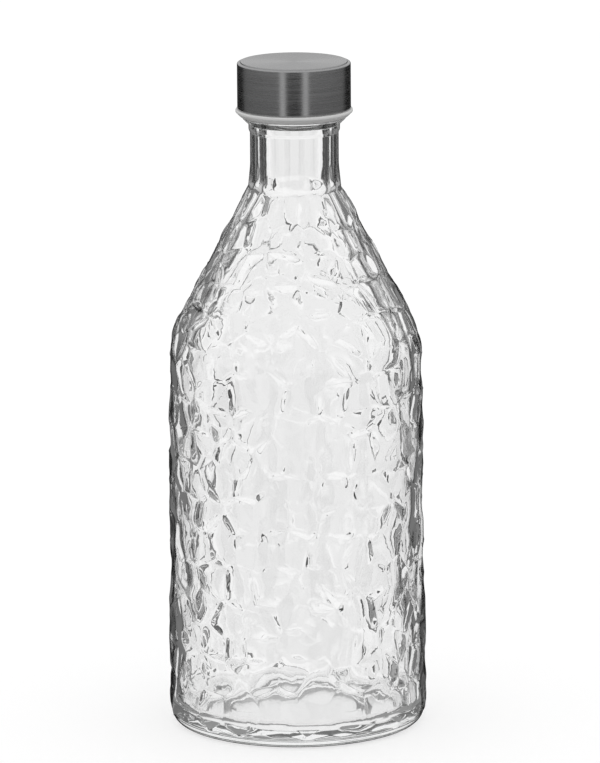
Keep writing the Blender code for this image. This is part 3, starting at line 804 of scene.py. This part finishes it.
def makeGlass():
    wall = hammeredWall()
    core = glassCore()
    crest = bottle["finishRadius"] + glassThread["depth"]
    rib = threadRib(
        "glassThread", glassThread, crest - glassThread["section"], bottle["finishRadius"], threadTop,
        glassThread["section"],
    )
    space = waterSpace()
    unite(wall, core, "UNION")
    unite(wall, rib, "UNION")
    unite(wall, space, "DIFFERENCE")
    mesh = bakedMesh(wall)
    for tool in (wall, core, rib, space):
        bpy.data.objects.remove(tool)
    mesh.shade_smooth()
    mesh.set_sharp_from_angle(angle=bottle["sharpFrom"])
    piece = addPiece("glassBottle", mesh, glassFinish)
    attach(piece, "bottle")
    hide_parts("glass_bottle")
    return piece


glassPiece = makeGlass()
print("glass bottle:", len(glassPiece.data.polygons), "faces")


# the cap: steel shell, plastic insert and foam liner

cap = {
    "gap": 0.0003, "insertWall": 0.0012, "insertTop": 0.0014, "threadClearance": 0.0005,
    "insertThreadSection": 0.0009, "insertThreadBite": 0.0006,
    "shellWall": 0.0004, "edgeRound": 0.0011, "hem": 0.0005, "hemBite": 0.0007,
    "step": 0.0004, "stepInset": 0.0002, "stepRun": 0.0001, "stepRound": 0.00015, "dish": 0.00025,
    "collarHeight": 0.0026, "collarLift": 0.0001, "collarLip": 0.0007, "collarEdge": 0.0010,
    "collarUndercut": 0.0010,
    "collarTopRound": 0.0004, "collarEdgeRound": 0.0006, "collarFootRound": 0.0003,
    "linerThickness": 0.0015, "smallRound": 0.0002,
    "turnSteps": 192, "arcStep": math.radians(9), "sharpFrom": math.radians(40),
}
crestRadius = bottle["finishRadius"] + glassThread["depth"]
insertInner = crestRadius + cap["threadClearance"]
insertRadius = insertInner + cap["insertWall"]
shellInner = insertRadius + cap["gap"]
capRadius = shellInner + cap["shellWall"]
linerBottom = rimHeight + cap["gap"]
linerTop = linerBottom + cap["linerThickness"]
insertCeiling = linerTop + cap["gap"]
insertHeight = insertCeiling + cap["insertTop"]
shellCeiling = insertHeight + cap["gap"]
capHeight = shellCeiling + cap["shellWall"]
collarBottom = beadTop + cap["gap"] + cap["collarLift"]
collarTop = collarBottom + cap["collarHeight"]
shellBottom = collarTop + cap["gap"]


def capPiece(name, mesh, finish, node, body):
    mesh.shade_smooth()
    mesh.set_sharp_from_angle(angle=cap["sharpFrom"])
    piece = addPiece(name, mesh, finish)
    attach(piece, body)
    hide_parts(node)
    return piece


def makeShell():
    topRadius = capRadius - cap["edgeRound"] - cap["stepInset"]
    corners = [
        (0, capHeight - cap["dish"], 0),
        (topRadius, capHeight, cap["stepRound"]),
        (topRadius + cap["stepRun"], capHeight - cap["step"], 0),
        (capRadius, capHeight - cap["step"], cap["edgeRound"]),
        (capRadius, shellBottom, cap["smallRound"]),
        (shellInner - cap["hemBite"], shellBottom, cap["smallRound"]),
        (shellInner - cap["hemBite"], shellBottom + cap["hem"], cap["smallRound"]),
        (shellInner, shellBottom + cap["hem"], 0),
        (shellInner, shellCeiling, cap["edgeRound"] - cap["shellWall"]),
        (0, shellCeiling, 0),
    ]
    points = roundCorners(corners, cap["arcStep"])
    mesh = turnOnAxis("capShell", points, cap["turnSteps"])
    return capPiece("capShell", mesh, steelFinish, "cap_shell", "cap")


def makeInsert():
    groove = shellInner - cap["hemBite"] - cap["gap"]
    grooveTop = shellBottom + cap["hem"] + cap["gap"]
    lip = capRadius + cap["collarLip"]
    corners = [
        (0, insertHeight, 0),
        (insertRadius, insertHeight, cap["edgeRound"]),
        (insertRadius, grooveTop, 0),
        (groove, grooveTop, 0),
        (groove, collarTop, 0),
        (lip, collarTop, cap["collarTopRound"]),
        (lip, collarTop - cap["collarEdge"], cap["collarEdgeRound"]),
        (capRadius - cap["collarUndercut"], collarBottom, cap["collarFootRound"]),
        (insertInner, collarBottom, cap["smallRound"]),
        (insertInner, insertCeiling, 0),
        (0, insertCeiling, 0),
    ]
    points = roundCorners(corners, cap["arcStep"])
    insert = addPiece("capInsert", turnOnAxis("capInsert", points, cap["turnSteps"]))
    section = cap["insertThreadSection"]
    middle = crestRadius - cap["insertThreadBite"] + section
    apart = glassThread["section"] + section + cap["gap"]
    across = middle - (crestRadius - glassThread["section"])
    drop = math.sqrt(apart**2 - across**2)
    rib = threadRib("insertThread", glassThread, middle, insertInner, threadTop - drop, section)
    unite(insert, rib, "UNION")
    mesh = bakedMesh(insert)
    bpy.data.objects.remove(insert)
    bpy.data.objects.remove(rib)
    return capPiece("capInsert", mesh, plasticFinish, "cap_insert", "cap")


def makeLiner():
    radius = insertInner - cap["gap"]
    corners = [
        (0, linerTop, 0),
        (radius, linerTop, cap["smallRound"]),
        (radius, linerBottom, cap["smallRound"]),
        (0, linerBottom, 0),
    ]
    mesh = turnOnAxis("capLiner", roundCorners(corners, cap["arcStep"]), cap["turnSteps"])
    return capPiece("capLiner", mesh, foamFinish, "cap_liner", "seal")


makeShell()
makeInsert()
makeLiner()
print("cap made")


# studio: white background, pale floor, and dark bands at the sides that draw the edges of the glass

studio = {
    "panelEvery": math.radians(45), "panelShare": 0.3, "softShare": 0.01, "lineShare": 0.07,
    "panelMiddle": (0.4, 0.8), "ahead": 0.85, "aside": 0.96, "bandDark": 0.01, "bandGrey": 0.24,
    "eyeSlope": -0.21, "asideBeyond": (0.07, 0.18), "bandsUntil": (0.12, 0.22),
    "room": (0.015, 0.125), "roomTurn": (math.radians(8), math.radians(35)),
    "lamp": 0.46, "lampTurn": math.radians(23), "lampEdge": (math.radians(2), math.radians(9)),
    "behindTurn": (math.radians(48), math.radians(66)), "behindShade": 0.95,
    "ceiling": 0.58, "ceilingFrom": (0.0, 0.12), "daylight": 0.95, "backdrop": 1.0,
    "floorHalf": 6.0, "floorTint": (0.4, 0.4, 0.4, 1), "floorGlow": 0.65,
}
view = {
    "place": (0, -2.49, 0.658), "target": (0, 0, 0.125), "focal": 322.7, "sensor": 36.0,
    "shift": (4.0 / 763, 11.0 / 763), "roll": math.radians(-0.38), "clip": (0.1, 50.0),
}


def seenThroughGlass(tree, x, y, z):
    # pale panels in the eight main directions, paler above and below their middles
    turn = calc(tree, "DIVIDE", calc(tree, "ARCTAN2", x, y), studio["panelEvery"])
    part = calc(tree, "FRACT", calc(tree, "ADD", turn, 8.5))
    offPanel = calc(tree, "ABSOLUTE", calc(tree, "SUBTRACT", part, 0.5))
    offMiddle = calc(tree, "ABSOLUTE", calc(tree, "SUBTRACT", z, studio["eyeSlope"]))
    share, soft = studio["panelShare"], studio["softShare"]
    middle, edge = (share * bound for bound in studio["panelMiddle"])
    panel = calc(
        tree, "MAXIMUM",
        smoothStep(tree, offPanel, middle, edge, studio["ahead"], studio["aside"]),
        smoothStep(tree, offMiddle, *studio["asideBeyond"], studio["ahead"], studio["aside"]),
    )
    # and between them, a little under the eye, bands: a dark line, then grey
    line = share + studio["lineShare"]
    band = smoothStep(tree, offPanel, line, line + 2 * soft, studio["bandDark"], studio["bandGrey"])
    isBand = calc(
        tree, "MULTIPLY", smoothStep(tree, offPanel, share - soft, share + soft),
        smoothStep(tree, offMiddle, *studio["bandsUntil"], 1.0, 0.0),
    )
    return blend(tree, isBand, panel, band)


def mirroredInMetal(tree, x, y, z):
    # a grey room with tall lamps, dark behind, and a bright ceiling
    side = calc(tree, "ARCTAN2", calc(tree, "ABSOLUTE", x), calc(tree, "ABSOLUTE", y))
    offLamp = calc(tree, "ABSOLUTE", calc(tree, "SUBTRACT", side, studio["lampTurn"]))
    lamp = smoothStep(tree, offLamp, *studio["lampEdge"], studio["lamp"], 0.0)
    lit = calc(tree, "ADD", smoothStep(tree, side, *studio["roomTurn"], *studio["room"]), lamp)
    behind = calc(
        tree, "MULTIPLY", calc(tree, "GREATER_THAN", y, 0.0),
        smoothStep(tree, side, *studio["behindTurn"], studio["behindShade"], 0.0),
    )
    lit = calc(tree, "MULTIPLY", lit, calc(tree, "SUBTRACT", 1.0, behind))
    return blend(tree, smoothStep(tree, z, *studio["ceilingFrom"]), lit, studio["ceiling"])


def makeWorld():
    world = bpy.data.worlds.new("studio")
    bpy.context.scene.world = world
    world.use_nodes = True
    tree = world.node_tree
    tree.nodes.clear()
    x, y, z = splitVector(tree, addNode(tree, "ShaderNodeTexCoord").outputs["Generated"])
    ray = addNode(tree, "ShaderNodeLightPath").outputs
    level = blend(tree, ray["Is Glossy Ray"], studio["daylight"], mirroredInMetal(tree, x, y, z))
    level = blend(tree, ray["Is Transmission Ray"], level, seenThroughGlass(tree, x, y, z))
    level = blend(tree, ray["Is Camera Ray"], level, studio["backdrop"])
    background = addNode(tree, "ShaderNodeBackground", {"Color": (1, 1, 1, 1), "Strength": level})
    addNode(tree, "ShaderNodeOutputWorld", {"Surface": background.outputs[0]})


def makeFloor():
    mesh = bpy.data.meshes.new("floor")
    half = studio["floorHalf"]
    corners = [(-half, -half, 0), (half, -half, 0), (half, half, 0), (-half, half, 0)]
    mesh.from_pydata(corners, [], [(0, 1, 2, 3)])
    finish = bpy.data.materials.new("paleFloor")
    finish.use_nodes = True
    tree = finish.node_tree
    tree.nodes.clear()
    ray = addNode(tree, "ShaderNodeLightPath").outputs
    matt = addNode(tree, "ShaderNodeBsdfDiffuse", {"Color": studio["floorTint"]})
    strength = calc(tree, "MULTIPLY", ray["Is Camera Ray"], studio["floorGlow"])
    glow = addNode(tree, "ShaderNodeEmission", {"Color": (1, 1, 1, 1), "Strength": strength})
    both = addNode(tree, "ShaderNodeAddShader", {0: matt.outputs[0], 1: glow.outputs[0]})
    addNode(tree, "ShaderNodeOutputMaterial", {"Surface": both.outputs[0]})
    floor = addPiece("floor", mesh, finish)
    floor.visible_glossy = False
    floor.visible_transmission = False


def makeCamera():
    data = bpy.data.cameras.new("camera")
    data.lens = view["focal"]
    data.sensor_width = view["sensor"]
    data.shift_x, data.shift_y = view["shift"]
    data.clip_start, data.clip_end = view["clip"]
    camera = bpy.data.objects.new("camera", data)
    bpy.context.scene.collection.objects.link(camera)
    camera.location = view["place"]
    towards = Vector(view["target"]) - Vector(view["place"])
    turned = towards.to_track_quat("-Z", "Y") @ Quaternion((0, 0, 1), view["roll"])
    camera.rotation_euler = turned.to_euler()
    bpy.context.scene.camera = camera


makeWorld()
makeFloor()
makeCamera()
bpy.context.scene.view_settings.view_transform = "Standard"
print("studio made")
